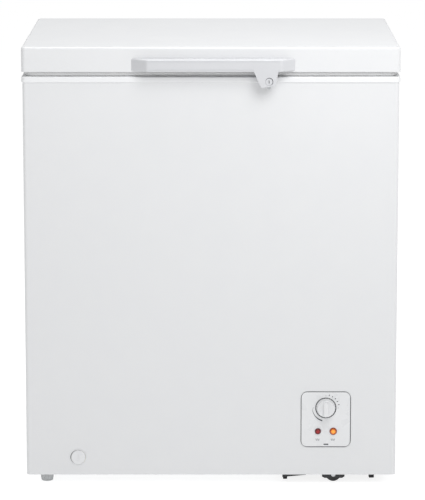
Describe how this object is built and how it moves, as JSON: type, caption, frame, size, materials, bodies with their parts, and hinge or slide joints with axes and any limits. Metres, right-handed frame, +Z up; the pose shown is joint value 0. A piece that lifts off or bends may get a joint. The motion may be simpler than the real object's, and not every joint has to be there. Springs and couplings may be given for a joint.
{
  "type": "chest freezer",
  "caption": "Small chest freezer with a hinged lid, a moulded front handle with a lock, a front control panel, a drain cap and a hanging basket.",
  "frame": {"origin": "on the floor, under the middle of the freezer's overall box", "axes": "+X to the right as seen from the front, +Y to the back, +Z up"},
  "size_m": [0.716, 0.575, 0.85],
  "materials": {
    "enamelled_steel": "gloss",
    "grey_back_steel": "satin",
    "galvanised_steel": "satin",
    "black_steel": "satin",
    "zinc_steel": "satin",
    "stucco_aluminium": "satin",
    "bare_aluminium": "satin",
    "copper": "satin",
    "brass": "satin",
    "foam": "matte",
    "white_plastic": "satin",
    "collar_plastic": "satin",
    "handle_plastic": "satin",
    "grey_plastic": "satin",
    "black_plastic": "matte",
    "black_rubber": "matte",
    "gasket_pvc": "matte",
    "red_lens": "gloss",
    "amber_lens": "gloss",
    "basket_wire": "gloss"
  },
  "bodies": {
    "cabinet": {"outer_shell": "enamelled_steel", "rear_panel": "grey_back_steel", "bottom_panel": "galvanised_steel", "step_panel": "galvanised_steel", "body_foam": "foam", "inner_liner": "stucco_aluminium", "top_frame": "collar_plastic", "evaporator_coil": "bare_aluminium", "condenser_coil": "black_steel", "compressor_tray": "black_steel", "tray_stops": "black_rubber", "compressor_shell": "black_steel", "compressor_cover": "black_plastic", "compressor_grommets": "black_rubber", "compressor_bolts": "zinc_steel", "discharge_tube": "copper", "suction_tube": "copper", "filter_drier": "copper", "capillary_tube": "copper", "vent_grille": "white_plastic", "rear_cover": "black_steel", "cord_gland": "black_plastic", "control_bezel": "white_plastic", "thermostat_body": "grey_plastic", "red_lamp": "red_lens", "amber_lamp": "amber_lens", "lamp_holders": "grey_plastic", "drain_tube": "grey_plastic", "drain_escutcheon": "white_plastic", "foot_sockets": "galvanised_steel", "roller_brackets": "black_steel", "roller_axles": "zinc_steel", "lock_keeper": "zinc_steel", "hinge_pins": "zinc_steel", "hinge_springs": "zinc_steel", "panel_screws": "zinc_steel", "hinge_base_left": "zinc_steel", "hinge_base_right": "zinc_steel"},
    "lid": {"lid_panel": "enamelled_steel", "lid_foam": "foam", "lid_liner": "white_plastic", "gasket": "gasket_pvc", "handle": "handle_plastic", "lid_screws": "zinc_steel", "hinge_arm_left": "zinc_steel", "hinge_arm_right": "zinc_steel"},
    "lock": {"lock_cylinder": "handle_plastic", "lock_cam": "zinc_steel"},
    "knob": {"control_knob": "white_plastic", "thermostat_shaft": "brass"},
    "spout": {"drain_spout": "white_plastic"},
    "dial": {"drain_dial": "white_plastic"},
    "plug": {"drain_plug": "grey_plastic"},
    "basket": {"basket": "basket_wire"},
    "foot_front": {"foot_front_left": "grey_plastic"},
    "foot_rear": {"foot_rear_left": "grey_plastic"},
    "roller_front": {"roller_wheel_front": "black_plastic"},
    "roller_rear": {"roller_wheel_rear": "black_plastic"},
    "plunger_left": {"hinge_plunger_left": "black_plastic"},
    "plunger_right": {"hinge_plunger_right": "black_plastic"}
  },
  "joints": [
    {"name": "lid_hinge", "type": "hinge", "parent": "cabinet", "child": "lid", "pos_m": [0, 0.2765, 0.8], "axis": [-1, 0, 0], "range_deg": [0, 80], "stiffness_Nm_per_rad": 4.2, "springref_deg": 108.86, "deforming": ["hinge_springs"]},
    {"name": "lock_turn", "type": "hinge", "parent": "lid", "child": "lock", "pos_m": [0.1095, -0.2875, 0.787], "axis": [0, 1, 0], "range_deg": [0, 90]},
    {"name": "knob_turn", "type": "hinge", "parent": "cabinet", "child": "knob", "pos_m": [0.221, -0.2615, 0.1522], "axis": [0, 1, 0], "range_deg": [-140, 140]},
    {"name": "spout_slide", "type": "slide", "parent": "cabinet", "child": "spout", "axis": [0, -1, 0], "range_m": [0, 0.025]},
    {"name": "dial_turn", "type": "hinge", "parent": "spout", "child": "dial", "pos_m": [-0.256, -0.2615, 0.0547], "axis": [0, 1, 0], "range_deg": [0, 180]},
    {"name": "plug_lift", "type": "slide", "parent": "cabinet", "child": "plug", "axis": [0, 0, 1], "range_m": [0, 0.04]},
    {"name": "basket_slide", "type": "slide", "parent": "cabinet", "child": "basket", "axis": [-1, 0, 0], "range_m": [0, 0.38]},
    {"name": "foot_front_turn", "type": "hinge", "parent": "cabinet", "child": "foot_front", "pos_m": [-0.3185, -0.2255, 0.02], "axis": [0, 0, 1], "continuous": true},
    {"name": "foot_rear_turn", "type": "hinge", "parent": "cabinet", "child": "foot_rear", "pos_m": [-0.3185, 0.2085, 0.02], "axis": [0, 0, 1], "continuous": true},
    {"name": "roller_front_spin", "type": "hinge", "parent": "cabinet", "child": "roller_front", "pos_m": [0.237, -0.2305, 0.015], "axis": [0, 1, 0], "continuous": true},
    {"name": "roller_rear_spin", "type": "hinge", "parent": "cabinet", "child": "roller_rear", "pos_m": [0.237, 0.1985, 0.015], "axis": [0, 1, 0], "continuous": true},
    {"name": "plunger_left_slide", "type": "slide", "parent": "cabinet", "child": "plunger_left", "axis": [0, 0, 1], "range_m": [0, 0.0034]},
    {"name": "plunger_right_slide", "type": "slide", "parent": "cabinet", "child": "plunger_right", "axis": [0, 0, 1], "range_m": [0, 0.0034]}
  ],
  "couplings": [
    {"joint": "plunger_left_slide", "follows": "lid_hinge", "m_per_rad": 0.0024},
    {"joint": "plunger_right_slide", "follows": "lid_hinge", "m_per_rad": 0.0024}
  ]
}
